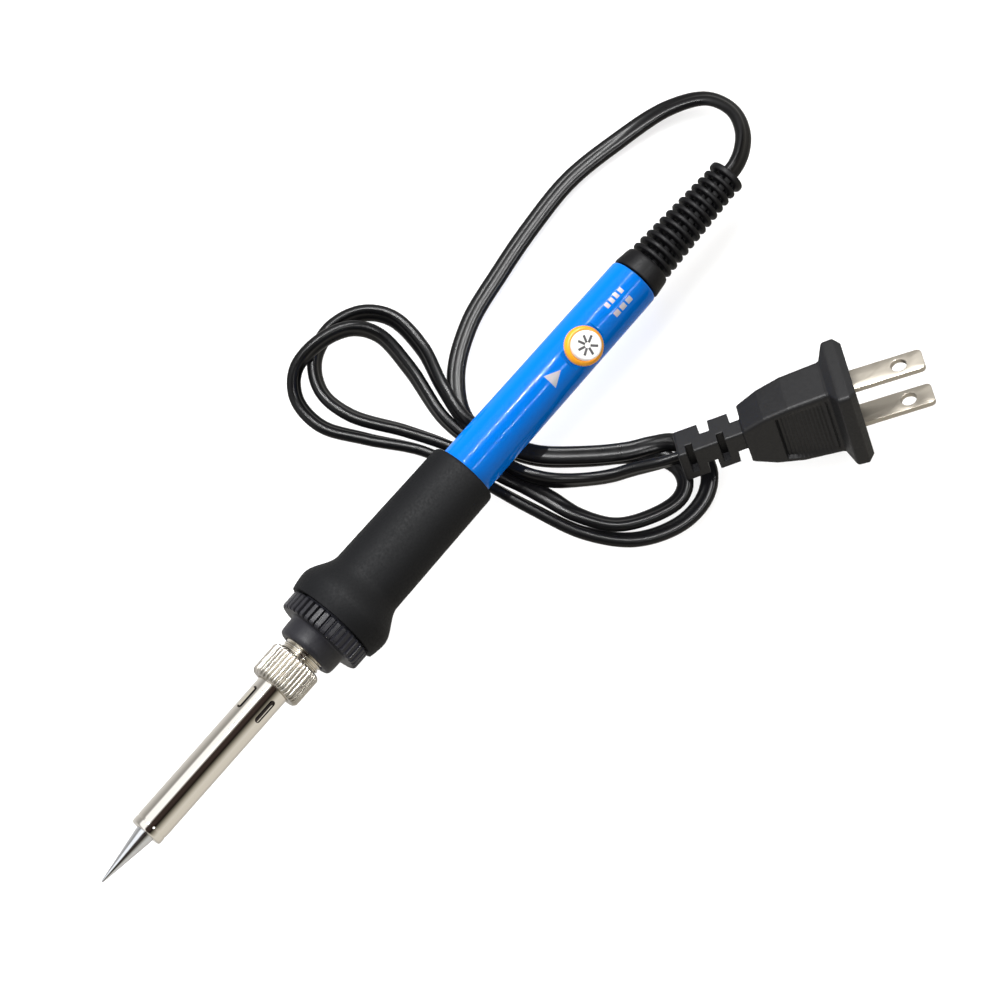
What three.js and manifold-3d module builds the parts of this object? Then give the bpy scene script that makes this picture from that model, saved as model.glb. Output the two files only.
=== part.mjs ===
// Adjustable-temperature mains soldering iron with its flat two-core cord and moulded two-blade plug.
// Millimetres, +Z up. The iron lies along X with its tip at -X; Z = 0 is the bench it rests on.
import * as THREE from 'three';
import { mergeVertices } from 'three/addons/utils/BufferGeometryUtils.js';
import Module from 'manifold-3d';

const wasm = await Module();
wasm.setup();

// ---- driving dimensions ----------------------------------------------------------------------
const IRON_LENGTH = 229;        // tip point to the rear of the cord guard
const FLARE_R = 12.85;          // widest ring of the rubber grip, which rests on the bench
const GAP = 0.3;                // clearance between separate pieces that touch

// distances from the tip point, along the iron
const TUBE_FRONT = 15.2;
const NUT_FRONT = 60.6;
const NUT_REAR = 69.4;
const BOSS_FRONT = 71.7;
const COLLAR_FRONT = 76.8;
const COLLAR_REAR = 81.5;
const GRIP_REAR = 130;
const SHELL_REAR = 193.3;
const DIAL_X = 171.1;

const TIP_R = 2.4;
const SHANK_R = 3.25;
const TIP_BORE_R = 2.15;
const HEATER_R = 1.85;
const TUBE_R = 4.25;
const TUBE_BORE_R = 3.6;
const NUT_R = 6.75;
const BUSH_R = 5.3;
const THREAD_PITCH = 1;         // of the nut on the bush and of the collar on the shell
const BOSS_R = 7.7;
const COLLAR_R = 11.4;
const SKIRT_R = 8.6;
const SHELL_R = 7.0;
const SHELL_REAR_R = 6.65;
const SHELL_BORE_R = 5.6;

const DIAL_ROLL = THREE.MathUtils.degToRad(20);   // the dial looks 20 degrees to the -Y side of up
const DIAL_SEAT = 6.2;          // height of the dial's flat seat above the handle axis
const DIAL_R = 4.9;
const CAP_R = 3.7;
const BOARD_TOP = -0.6;         // component side of the circuit board, above the handle axis

const PLUG_LENGTH = 45;         // plug face to the rear of its strain relief
const PLUG_AT = [90.1, -60.35, 16.3];
const PLUG_TURN = { yaw: -34, pitch: 9.5, roll: -28.5 };
const BLADE = { length: 17.8, width: 6.35, thick: 1.5, pitch: 12.7, sunk: 9 };

const CORD_THICK = 2.8;         // the cord is a flat 4.6 x 2.8 mm pair; its solid is a plain tube
const CORD_STEPS = 80;
const CORD_SIDES = 8;

// ---- solids ----------------------------------------------------------------------------------
// Welds a geometry's vertices, drops collapsed triangles and turns its faces outwards.
function weld(geometry) {
  const bare = new THREE.BufferGeometry();
  bare.setAttribute('position', geometry.getAttribute('position').clone());
  if (geometry.index) bare.setIndex(geometry.index.clone());
  const merged = mergeVertices(bare, 1e-4);
  const from = merged.index.array;
  const p = merged.getAttribute('position');
  const a = new THREE.Vector3();
  const b = new THREE.Vector3();
  const c = new THREE.Vector3();
  const kept = [];
  let volume = 0;
  for (let i = 0; i < from.length; i += 3) {
    const [u, v, w] = [from[i], from[i + 1], from[i + 2]];
    if (u === v || v === w || w === u) continue;
    kept.push(u, v, w);
    volume += a.fromBufferAttribute(p, u).dot(b.fromBufferAttribute(p, v).cross(c.fromBufferAttribute(p, w)));
  }
  merged.setIndex(volume < 0 ? kept.reverse() : kept);
  return merged;
}

function solid(geometry) {
  const g = weld(geometry);
  return new wasm.Manifold(new wasm.Mesh({
    numProp: 3,
    vertProperties: new Float32Array(g.getAttribute('position').array),
    triVerts: new Uint32Array(g.index.array),
  }));
}

function geometryOf(manifold) {
  const m = manifold.getMesh();
  const g = new THREE.BufferGeometry();
  g.setAttribute('position', new THREE.BufferAttribute(new Float32Array(m.vertProperties), 3));
  g.setIndex(new THREE.BufferAttribute(new Uint32Array(m.triVerts), 1));
  return g;
}

const cut = (body, ...tools) => geometryOf(tools.reduce((s, t) => s.subtract(solid(t)), solid(body)));
const join = (body, ...more) => geometryOf(more.reduce((s, t) => s.add(solid(t)), solid(body)));
const common = (body, other) => geometryOf(solid(body).intersect(solid(other)));

// A body turned about X from a list of [x, radius] points; open ends of the list lie on the axis.
function turned(profile, segments = 32) {
  const onAxis = profile[0][1] === 0 && profile[profile.length - 1][1] === 0;
  const loop = onAxis ? profile : [...profile, profile[0]];
  const g = new THREE.LatheGeometry(loop.map(([x, r]) => new THREE.Vector2(r, x)), segments);
  return g.rotateZ(-Math.PI / 2);
}

const pipe = (x0, x1, outer, inner, segments) =>
  turned([[x0, inner], [x0, outer], [x1, outer], [x1, inner]], segments);

function block(x, y, z, cx = 0, cy = 0, cz = 0) {
  return new THREE.BoxGeometry(x, y, z).translate(cx, cy, cz);
}

// A round post along Z from z0 to z1.
function post(r, z0, z1, segments = 24) {
  return new THREE.CylinderGeometry(r, r, z1 - z0, segments).rotateX(Math.PI / 2).translate(0, 0, (z0 + z1) / 2);
}

// A prism along X whose rim has count square teeth between two radii.
function toothedPrism(x0, x1, tipR, rootR, count) {
  const shape = new THREE.Shape();
  const step = (2 * Math.PI) / count;
  const corners = [[0.0, rootR], [0.16, tipR], [0.66, tipR], [0.82, rootR]];
  for (let i = 0; i < count; i += 1) {
    for (const [part, r] of corners) {
      const turn = (i + part) * step;
      if (i === 0 && part === 0) shape.moveTo(r, 0);
      else shape.lineTo(r * Math.cos(turn), r * Math.sin(turn));
    }
  }
  shape.closePath();
  return new THREE.ExtrudeGeometry(shape, { depth: x1 - x0, bevelEnabled: false })
    .rotateY(Math.PI / 2).translate(x0, 0, 0);
}

// A wire of round section through a list of points.
function wire(points, r, steps, sides = 8) {
  const circle = new THREE.Shape().absarc(0, 0, r, 0, 2 * Math.PI, false);
  const outline = new THREE.Shape(circle.getPoints(sides).slice(0, sides));
  const path = new THREE.CatmullRomCurve3(points.map((p) => new THREE.Vector3(...p)));
  return new THREE.ExtrudeGeometry(outline, { steps, bevelEnabled: false, extrudePath: path });
}

// ---- scene -----------------------------------------------------------------------------------
const group = new THREE.Group();
const iron = new THREE.Group();
iron.position.set(-IRON_LENGTH / 2, 0, FLARE_R);
group.add(iron);

// Everything on the dial's side of the handle is laid out with Z along the dial's axis.
const inside = new THREE.Group();
inside.rotation.x = DIAL_ROLL;
iron.add(inside);

function add(parent, name, geometry, colour, roughness, metalness = 0) {
  const material = new THREE.MeshStandardMaterial({ color: colour, roughness, metalness });
  const mesh = new THREE.Mesh(weld(geometry), material);
  mesh.name = name;
  parent.add(mesh);
  return mesh;
}

// ---- hot end ---------------------------------------------------------------------------------
// Conical tip: a hollow shank that slips over the heater, held by its shoulder behind the tube's lip.
const SHOULDER_X = TUBE_FRONT + 1.6;
const SHANK_REAR = 43;
add(iron, 'soldering_tip', turned([
  [0, 0], [0.05, 0.22], [0.4, 0.3], [TUBE_FRONT - 0.4, TIP_R], [SHOULDER_X, TIP_R], [SHOULDER_X, SHANK_R],
  [SHANK_REAR, SHANK_R], [SHANK_REAR, TIP_BORE_R], [22, TIP_BORE_R], [22, 0],
], 32), '#c3cad2', 0.25, 1);

// Barrel tube: rolled bead and crease at the front, vent slots at the rear, a flange under the nut.
const LIP_R = TIP_R + 0.35;
const FLANGE_REAR = NUT_FRONT + 2.5;
const tubeBody = turned([
  [TUBE_FRONT, LIP_R], [TUBE_FRONT, 3.5], [15.4, 3.95], [15.9, TUBE_R], [16.9, TUBE_R], [17.3, 4.05],
  [17.7, 4.05], [18.1, TUBE_R], [61.8, TUBE_R], [61.8, 5.1], [FLANGE_REAR, 5.1], [FLANGE_REAR, TUBE_BORE_R],
  [TUBE_FRONT + 1.2, TUBE_BORE_R], [TUBE_FRONT + 1.2, LIP_R],
], 40);
const SLOT = { x: 54.8, length: 6.6, width: 1.6 };
const slotTools = [41, 137].map((turn) =>
  block(SLOT.length, SLOT.width, 4 * TUBE_R, SLOT.x).rotateX(THREE.MathUtils.degToRad(turn)));
add(iron, 'barrel_tube', cut(tubeBody, ...slotTools), '#c8beb0', 0.28, 1);

// Knurled retaining nut, screwed on the bush behind the tube's flange.
const nutBody = turned([
  [NUT_FRONT, TUBE_R + GAP], [NUT_FRONT, 6.1], [NUT_FRONT + 0.6, NUT_R], [NUT_REAR - 0.6, NUT_R],
  [NUT_REAR, 6.1], [NUT_REAR, BUSH_R + GAP], [NUT_FRONT + 0.9, BUSH_R + GAP],
  [NUT_FRONT + 0.9, TUBE_R + GAP],
], 40);
add(iron, 'retaining_nut', common(nutBody, toothedPrism(NUT_FRONT - 1, NUT_REAR + 1, NUT_R + 0.1, NUT_R - 0.35, 36)),
  '#c9bda8', 0.3, 1);

// Bush with an outside thread for the nut and a flange held inside the front collar.
const bushThread = [];
for (let x = 63.8; x < BOSS_FRONT - 0.5; x += THREAD_PITCH) {
  bushThread.push([x, BUSH_R - 0.4], [x + THREAD_PITCH / 2, BUSH_R]);
}
const BUSH_BORE_R = 3.9;
add(iron, 'threaded_bush', turned([
  [63.4, BUSH_BORE_R], [63.4, BUSH_R - 0.5], ...bushThread, [73.5, BUSH_R], [73.5, 6.5], [76, 6.5],
  [76, BUSH_BORE_R],
], 28), '#d8d2c6', 0.25, 1);

// Ceramic heater rod with its two leads, in a ceramic holder.
add(iron, 'heating_element', turned([[23.2, 0], [23.2, 1.4], [23.7, HEATER_R], [84, HEATER_R], [84, 0]], 20),
  '#e9e4da', 0.6);
add(iron, 'heater_holder', pipe(76.5, 82.6, 6.9, HEATER_R + GAP, 28), '#efe9dc', 0.7);
for (const [name, side] of [['heater_lead_left', 1], ['heater_lead_right', -1]]) {
  const y = 1.0 * side;
  add(inside, name, wire([[84.4, y, 0], [90, y, 0.1], [100, 1.6 * side, 0.6], [108, 2.2 * side, 0.6],
    [116, 2.6 * side, BOARD_TOP + 0.9]], 0.55, 10), '#e8e0d0', 0.8);
}

// ---- collar, grip and handle -------------------------------------------------------------------
// Front collar: smooth boss and a fluted disc; its skirt screws on the front of the handle shell.
const COLLAR_BORE_R = 7.35;
const collarBody = turned([
  [BOSS_FRONT, BUSH_R + GAP], [BOSS_FRONT, 6.8], [71.9, 7.3], [72.5, BOSS_R], [COLLAR_FRONT, BOSS_R],
  [COLLAR_FRONT, 11.0], [COLLAR_FRONT + 0.4, COLLAR_R], [COLLAR_REAR - 0.3, COLLAR_R], [COLLAR_REAR, 11.1],
  [COLLAR_REAR, SKIRT_R], [90, SKIRT_R], [90, COLLAR_BORE_R], [76.2, COLLAR_BORE_R], [76.2, 6.8], [73.2, 6.8],
  [73.2, BUSH_R + GAP],
], 40);
add(iron, 'front_collar', common(collarBody, toothedPrism(BOSS_FRONT - 1, 91, 11.5, 10.95, 40)),
  '#3c3c44', 0.55);

// Rubber grip: flared finger guard, then a slightly tapered sleeve.
const GRIP_FRONT = COLLAR_REAR + GAP;
add(iron, 'grip_sleeve', turned([
  [GRIP_FRONT, SKIRT_R + GAP], [GRIP_FRONT, 12.3], [82.3, 12.55], [84, 12.72], [86, FLARE_R], [87.2, 12.6],
  [88.2, 12.0], [89.3, 11.1], [90.6, 10.3], [92.2, 9.7], [94.5, 9.4], [112, 9.15], [128.6, 8.95],
  [129.5, 8.8], [GRIP_REAR, 8.4], [GRIP_REAR, SHELL_R + GAP], [91, SHELL_R + GAP], [91, SKIRT_R + GAP],
], 40), '#2a2b2f', 0.85);

// Handle shell: a thin tapered tube with a flat seat and a hole for the dial.
const shellBody = turned([
  [83.2, SHELL_BORE_R], [83.2, SHELL_R - 0.4], [83.6, SHELL_R], [GRIP_REAR + 2, SHELL_R],
  [SHELL_REAR - 0.5, SHELL_REAR_R], [SHELL_REAR, SHELL_REAR_R - 0.4], [SHELL_REAR, SHELL_BORE_R],
], 40);
const dialSeat = block(2 * DIAL_R + 1, 12, 3, DIAL_X, 0, DIAL_SEAT + 1.5).rotateX(DIAL_ROLL);
const dialHole = post(2.2, 3, 9).translate(DIAL_X, 0, 0).rotateX(DIAL_ROLL);
add(iron, 'handle_shell', cut(shellBody, dialSeat, dialHole), '#0a7fe6', 0.25);

// ---- temperature control -----------------------------------------------------------------------
// Dial: a knob with a pointer cap, on the potentiometer's shaft.
const KNOB = { bottom: DIAL_SEAT + GAP, rim: DIAL_SEAT + 1.9, top: DIAL_SEAT + 2.7 };
const CAP = { bottom: KNOB.top - 0.5, top: 10.9 };
const SHAFT_R = 1.5;
const upright = (geometry) => geometry.rotateY(-Math.PI / 2).translate(DIAL_X, 0, 0);
add(inside, 'dial_knob', upright(turned([
  [KNOB.bottom, SHAFT_R + 0.1], [KNOB.bottom, DIAL_R - 0.3], [KNOB.bottom + 0.3, DIAL_R], [KNOB.rim, DIAL_R],
  [KNOB.top, CAP_R + 0.5], [KNOB.top, CAP_R + 0.1], [CAP.bottom - 0.1, CAP_R + 0.1],
  [CAP.bottom - 0.1, SHAFT_R + 0.1],
], 36)), '#f5b400', 0.4);
add(inside, 'dial_cap', upright(turned([
  [CAP.bottom, 0], [CAP.bottom, CAP_R], [CAP.top - 0.4, CAP_R - 0.1], [CAP.top, CAP_R - 0.5], [CAP.top, 0],
], 32)), '#f2f2ee', 0.4);
add(inside, 'potentiometer_shaft', upright(turned([
  [3.6, 0], [3.6, SHAFT_R], [CAP.bottom - 0.2, SHAFT_R], [CAP.bottom - 0.2, 0],
], 20)), '#d9dbde', 0.35, 1);
add(inside, 'potentiometer_body', block(8.4, 7.4, 3.4, DIAL_X, 0, BOARD_TOP + GAP + 1.8), '#2f5f86', 0.5);

// Board and its parts.
const BOARD = { x0: 112, x1: 175.6, width: 9.4, thick: 1.2 };
add(inside, 'control_board', block(BOARD.x1 - BOARD.x0, BOARD.width, BOARD.thick,
  (BOARD.x0 + BOARD.x1) / 2, 0, BOARD_TOP - BOARD.thick / 2), '#b98a4a', 0.7);
add(inside, 'triac', block(4.6, 3.8, 4.4, 150, 0, BOARD_TOP + GAP + 2.2), '#1d1d1f', 0.5);
add(inside, 'film_capacitor', block(7.4, 3.6, 4.4, 140, 0, BOARD_TOP + GAP + 2.2), '#a8321f', 0.4);
const axialParts = [['fixed_resistor', 131, 1.0, '#c9a878'], ['trigger_diac', 158.5, 0.95, '#2c3d66'],
  ['suppressor_resistor', 124, 1.1, '#9fb6c9']];
for (const [name, x, r, colour] of axialParts) {
  add(inside, name, turned([[-3, 0], [-2.8, r * 0.8], [-2, r], [2, r], [2.8, r * 0.8], [3, 0]], 16)
    .translate(x, 0, BOARD_TOP + GAP + r), colour, 0.5);
}

// ---- cord guard --------------------------------------------------------------------------------
// A spigot snapped in the shell, a tapered collar, and ribs with windows between them on alternate sides.
const RIBS = { first: 199.6, pitch: 2.3, count: 13, width: 1.25 };
const GUARD_CORE_R = 3.95;
const GUARD_BORE_R = 2.75;
const ribRadius = (i) => 5.75 - (i * 1.45) / (RIBS.count - 1);
const guardProfile = [[181, GUARD_BORE_R], [181, 5.2], [182, 5.3], [SHELL_REAR + GAP, 5.3],
  [SHELL_REAR + GAP, 6.3], [SHELL_REAR + 0.6, 6.55], [198.2, 6.05], [198.6, 5.7], [198.6, GUARD_CORE_R]];
for (let i = 0; i < RIBS.count; i += 1) {
  const x = RIBS.first + i * RIBS.pitch;
  const r = i === RIBS.count - 1 ? 4.5 : ribRadius(i);
  guardProfile.push([x, GUARD_CORE_R], [x + 0.25, r], [x + RIBS.width - 0.25, r],
    [x + RIBS.width, GUARD_CORE_R]);
}
guardProfile.push([IRON_LENGTH, GUARD_CORE_R - 0.05], [IRON_LENGTH, GUARD_BORE_R]);
const windows = [];
for (let i = 0; i < RIBS.count; i += 1) {
  const middle = RIBS.first + i * RIBS.pitch - (RIBS.pitch - RIBS.width) / 2;
  const across = i % 2 === 0 ? Math.PI / 2 : 0;
  for (const side of [-1, 1]) {
    windows.push(block(0.8, 3.4, 3, middle, 0, side * 3.6).rotateX(across + DIAL_ROLL));
  }
}
add(iron, 'cord_guard', cut(turned(guardProfile, 20), ...windows), '#1d1e21', 0.6);

// ---- cord --------------------------------------------------------------------------------------
// The end of the cord inside the guard and handle, its tie, and its two cores up to the board.
const TAIL_FRONT = 177.5;
add(iron, 'cord_tail', pipe(TAIL_FRONT, IRON_LENGTH - 0.2, CORD_THICK / 2, 0.4, CORD_SIDES), '#17181a', 0.6);
add(iron, 'cord_tie', pipe(178.4, 180.6, 2.7, CORD_THICK / 2 + GAP, 16), '#e8e6df', 0.5);
for (const [name, side, colour] of [['core_wire_left', 1, '#3a3a3d'], ['core_wire_right', -1, '#6b3f22']]) {
  add(inside, name, wire([[TAIL_FRONT - GAP, 0.75 * side, -0.1], [176.6, 1.0 * side, -1.2],
    [175.4, 1.6 * side, -2.5], [172, 2.2 * side, -2.7]], 0.5, 8), colour, 0.7);
}

// Plug: moulded body with a square bevelled flange, a tapered grip and a notched strain relief.
const plug = new THREE.Group();
plug.position.set(...PLUG_AT);
plug.rotation.set(
  THREE.MathUtils.degToRad(PLUG_TURN.roll),
  THREE.MathUtils.degToRad(-PLUG_TURN.pitch),
  THREE.MathUtils.degToRad(PLUG_TURN.yaw),
  'ZYX',
);
group.add(plug);
plug.updateMatrixWorld(true);

// A rounded-corner rectangle loop of points at one x, for lofting along the plug's axis. The relief bends
// a little towards the bench, so its rings are lowered by up to the droop.
const RELIEF = { width: 8.2, height: 9.6, front: -28.4, droop: 0.55 };
function squircleRing(x, width, height, corner) {
  const ring = [];
  const [hy, hz] = [width / 2 - corner, height / 2 - corner];
  const bend = Math.max(0, (RELIEF.front - x) / (RELIEF.front + PLUG_LENGTH));
  for (const [sy, sz, start] of [[1, 1, 0], [-1, 1, 90], [-1, -1, 180], [1, -1, 270]]) {
    for (const step of [0, 45, 90]) {
      const turn = THREE.MathUtils.degToRad(start + step);
      const [y, z] = [sy * hy + corner * Math.cos(turn), sz * hz + corner * Math.sin(turn)];
      ring.push([x, y - RELIEF.droop * bend, z - RELIEF.droop * bend]);
    }
  }
  return ring;
}

function loft(rings) {
  const n = rings[0].length;
  const positions = rings.flat(2);
  const faces = [];
  for (let k = 0; k + 1 < rings.length; k += 1) {
    for (let j = 0; j < n; j += 1) {
      const a = k * n + j;
      const b = k * n + ((j + 1) % n);
      faces.push(a, b, a + n, b, b + n, a + n);
    }
  }
  for (let j = 1; j + 1 < n; j += 1) {
    faces.push(0, j + 1, j);
    const last = (rings.length - 1) * n;
    faces.push(last, last + j, last + j + 1);
  }
  const g = new THREE.BufferGeometry();
  g.setAttribute('position', new THREE.Float32BufferAttribute(positions, 3));
  g.setIndex(faces);
  return g;
}

const plugBody = loft([
  squircleRing(-PLUG_LENGTH, RELIEF.width, RELIEF.height, 0.6),
  squircleRing(RELIEF.front - 0.1, RELIEF.width, RELIEF.height, 0.6),
  squircleRing(RELIEF.front, 9.2, 11.6, 1.2),
  squircleRing(-22.8, 10.6, 16.6, 1.6),
  squircleRing(-16.5, 11.5, 19.6, 1.8),
  squircleRing(-6.8, 11.8, 21.4, 1.8),
  squircleRing(-6.0, 12.6, 21.8, 1.8),
  squircleRing(-4.5, 20.0, 24.2, 1.4),
  squircleRing(-1.6, 20.5, 24.8, 1.4),
  squircleRing(0, 17.3, 23.1, 1.1),
]);
// Notches that let the strain relief bend: square cuts into two opposite corners, then into the other two.
const notches = [];
for (const x of [-37.45, -29.7]) {
  for (const side of [-1, 1]) notches.push(block(2.5, 6, 6, x, side * 3.6, side * 3.6));
}
for (const x of [-41.9, -34]) {
  for (const side of [-1, 1]) notches.push(block(1.7, 6, 8, x, side * 4.4, side * -1.5));
}
// Finger grips: shallow channels across the broad sides.
for (let i = 0; i < 6; i += 1) {
  for (const side of [-1, 1]) notches.push(block(0.8, 0.8, 13, -19 + i * 2, side * (5.6 + i * 0.06), 0));
}
const bladeSlots = [-1, 1].map((side) =>
  block(BLADE.sunk + GAP + 2, BLADE.width + 2 * GAP, BLADE.thick + 2 * GAP,
    -(BLADE.sunk + GAP) / 2 + 1, 0, (side * BLADE.pitch) / 2));
add(plug, 'plug_body', cut(plugBody, ...notches, ...bladeSlots), '#26272b', 0.6);

// Blades: flat brass strips, bevelled at the end, with a round hole.
function blade() {
  const h = BLADE.width / 2;
  const shape = new THREE.Shape();
  shape.moveTo(-BLADE.sunk, -h);
  shape.lineTo(BLADE.length - 1.2, -h);
  shape.quadraticCurveTo(BLADE.length, -h, BLADE.length, -h + 1.3);
  shape.lineTo(BLADE.length, h - 1.3);
  shape.quadraticCurveTo(BLADE.length, h, BLADE.length - 1.2, h);
  shape.lineTo(-BLADE.sunk, h);
  shape.closePath();
  shape.holes.push(new THREE.Path().absarc(11.7, 0, 1.85, 0, 2 * Math.PI, true));
  return new THREE.ExtrudeGeometry(shape, { depth: BLADE.thick, bevelEnabled: false, curveSegments: 5 })
    .translate(0, 0, -BLADE.thick / 2);
}
for (const [name, side] of [['plug_blade_upper', 1], ['plug_blade_lower', -1]]) {
  add(plug, name, blade().translate(0, 0, (side * BLADE.pitch) / 2), '#b9b2a6', 0.35, 1);
}

// The free cord, from the guard round its two open turns, under the handle, to the plug.
const behindPlug = (gap) =>
  plug.localToWorld(new THREE.Vector3(-PLUG_LENGTH - gap, -RELIEF.droop, -RELIEF.droop)).toArray();
const CORD_ROUTE = [
  [114.8, 0, 12.85], [116.6, 0, 12.85], [120.8, 1.2, 12.2], [126.0, 4.8, 10.4], [129.4, 10.8, 7.9],
  [128.4, 17.9, 5.5], [120.9, 24.0, 3.3], [105.7, 28.5, 1.7], [91.0, 30.9, 1.4], [76.1, 30.2, 1.4],
  [61.4, 28.3, 1.4], [46.9, 25.5, 1.4], [34.7, 19.3, 1.4], [27.9, 10.6, 1.4], [28.3, 1.5, 1.4],
  [31.8, -8.4, 1.4], [39.4, -17.8, 1.4], [46.9, -25.2, 1.4], [50.2, -29.4, 1.4], [52.0, -33.3, 1.7],
  [52.2, -37.3, 2.1], [50.2, -40.7, 2.3], [46.2, -42.0, 2.3], [39.4, -40.0, 2.3], [31.6, -34.6, 2.3],
  [27.4, -26.0, 2.0], [26.0, -17.5, 1.5], [24.6, -10.5, 1.5], [22.3, -4.0, 2.1], [21.4, 2.5, 2.3],
  [20.1, 9.0, 2.3], [16.2, 19.4, 2.3], [10.4, 32.5, 2.3], [10.3, 41.5, 2.3], [15.3, 48.1, 2.3],
  [23.5, 50.3, 2.3], [31.6, 47.3, 2.3], [35.6, 40.8, 2.3], [34.6, 30.2, 2.6], [30.0, 19.6, 4.6],
  [27.1, 9.5, 5.0], [28.3, 1.5, 4.4], [31.8, -8.4, 4.4], [39.4, -17.8, 4.4], [46.9, -25.0, 4.3],
  [51.9, -28.5, 4.0], [56.0, -31.6, 2.6], [58.1, -35.6, 1.5], [58.0, -39.9, 1.6], [55.4, -44.0, 2.3],
  [50.0, -46.6, 2.3], [41.8, -46.2, 2.3], [31.9, -40.6, 2.3], [25.0, -30.2, 2.3], [21.2, -16.1, 2.3],
  [18.3, -1.5, 2.3], [15.3, 12.4, 2.3], [8.4, 25.5, 2.3], [3.7, 36.2, 2.3], [4.9, 44.8, 3.0],
  [9.9, 49.3, 5.2], [18.3, 49.2, 7.1], [26.2, 45.8, 6.4], [29.9, 40.0, 3.9], [28.7, 29.1, 2.4],
  [24.6, 14.6, 2.3], [24.6, 4.0, 2.3], [25.3, -3.5, 3.2], [26.4, -10.5, 5.2], [29.3, -16.0, 5.1],
  [34.4, -21.2, 3.6], [39.6, -25.8, 3.6], [44.3, -29.3, 5.2], behindPlug(4), behindPlug(GAP),
];
add(group, 'power_cord', wire(CORD_ROUTE, CORD_THICK / 2, CORD_STEPS, CORD_SIDES), '#17181a', 0.6);

export default group;
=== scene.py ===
"""Looks of the adjustable soldering iron, its flat cord and its moulded plug. Metres, in the CAD's frame."""
import bmesh
import bpy
import numpy as np
from math import cos, pi, radians, sin
from mathutils import Euler, Matrix, Vector


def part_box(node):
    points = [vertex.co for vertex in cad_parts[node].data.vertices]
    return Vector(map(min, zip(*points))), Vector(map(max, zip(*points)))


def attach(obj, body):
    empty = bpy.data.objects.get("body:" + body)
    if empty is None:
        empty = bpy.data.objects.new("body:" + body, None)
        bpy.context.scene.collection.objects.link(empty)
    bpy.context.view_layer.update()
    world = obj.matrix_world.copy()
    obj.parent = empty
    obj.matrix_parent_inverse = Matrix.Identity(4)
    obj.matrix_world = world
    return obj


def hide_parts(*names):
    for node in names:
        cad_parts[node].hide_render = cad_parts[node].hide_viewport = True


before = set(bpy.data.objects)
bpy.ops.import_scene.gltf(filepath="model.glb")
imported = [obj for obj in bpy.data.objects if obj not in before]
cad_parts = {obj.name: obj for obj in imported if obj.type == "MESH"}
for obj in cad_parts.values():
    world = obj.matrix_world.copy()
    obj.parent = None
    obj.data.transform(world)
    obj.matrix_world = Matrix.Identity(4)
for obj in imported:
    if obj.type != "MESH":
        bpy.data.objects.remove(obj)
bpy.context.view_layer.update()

# ---- Bench, light and camera ------------------------------------------------------------------
# A white bench under a light tent. A broad lamp stands on the +Y side, a dark opening lies overhead
# towards -Y, and two narrow strip lamps draw the long bright lines on the handle.
MM = 0.001


def colour(red, green, blue):
    """A display colour of three 0-255 steps as the linear values that shaders take, with alpha 1."""
    steps = np.array([red, green, blue]) / 255
    linear = np.where(steps <= 0.04045, steps / 12.92, ((steps + 0.055) / 1.055) ** 2.4)
    return (*linear.tolist(), 1.0)


scene = bpy.context.scene
scene.view_settings.view_transform = "Standard"

VIEW_FROM = (-0.16011, -0.16143, 0.94182)
VIEW_TILT = 14  # degrees away from straight down
VIEW_HEADING = -49.467
lens = bpy.data.cameras.new("view")
lens.lens = 144
lens.clip_end = 20
camera = bpy.data.objects.new("view", lens)
camera.location = VIEW_FROM
camera.rotation_euler = (radians(VIEW_TILT), 0, radians(VIEW_HEADING))
scene.collection.objects.link(camera)
scene.camera = camera

BENCH_HALF = 4
BENCH_DROP = 0.2 * MM
bench_corners = [(x * BENCH_HALF, y * BENCH_HALF, 0) for x, y in ((-1, -1), (1, -1), (1, 1), (-1, 1))]
bench_mesh = bpy.data.meshes.new("bench")
bench_mesh.from_pydata(bench_corners, [], [(0, 1, 2, 3)])
bench = bpy.data.objects.new("bench", bench_mesh)
bench.location.z = -BENCH_DROP
scene.collection.objects.link(bench)
bench_paint = bpy.data.materials.new("bench_paint")
bench_paint.use_nodes = True
bench_shader = bench_paint.node_tree.nodes["Principled BSDF"]
bench_shader.inputs["Base Color"].default_value = (0.72, 0.72, 0.72, 1)
bench_shader.inputs["Roughness"].default_value = 0.9
bench_shader.inputs["Specular IOR Level"].default_value = 0.1
bench_shader.inputs["Emission Color"].default_value = (1, 1, 1, 1)
bench_shader.inputs["Emission Strength"].default_value = 0.28
bench_mesh.materials.append(bench_paint)
bench.visible_glossy = False

LAMP_AIM_Z = 0.013  # about the height of the iron's axis


def lamp(name, angle, distance, size, power, x=0.0):
    """An area lamp facing the iron's axis from a distance, at an angle from straight up towards -Y. Its
    size is along the iron and across it, and x is its middle along the iron."""
    light = bpy.data.lights.new(name, "AREA")
    light.shape = "RECTANGLE"
    light.size, light.size_y = size
    light.energy = power
    thing = bpy.data.objects.new(name, light)
    reach = Vector((0, -sin(radians(angle)), cos(radians(angle)))) * distance
    thing.location = Vector((x, 0, LAMP_AIM_Z)) + reach
    thing.rotation_euler = Euler((radians(angle), 0, 0))
    thing.visible_camera = False
    scene.collection.objects.link(thing)
    return thing


side_lamp = lamp("side_lamp", -38, 1.3, (1.6, 1.1), 33)
side_lamp.visible_glossy = False
side_lamp.data.use_shadow = False
lamp("strip_left", -21, 0.32, (0.34, 0.002), 2.6, x=0.13).visible_diffuse = False
lamp("strip_right", 26.5, 0.32, (0.30, 0.0018), 0.9, x=0.17).visible_diffuse = False

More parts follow.
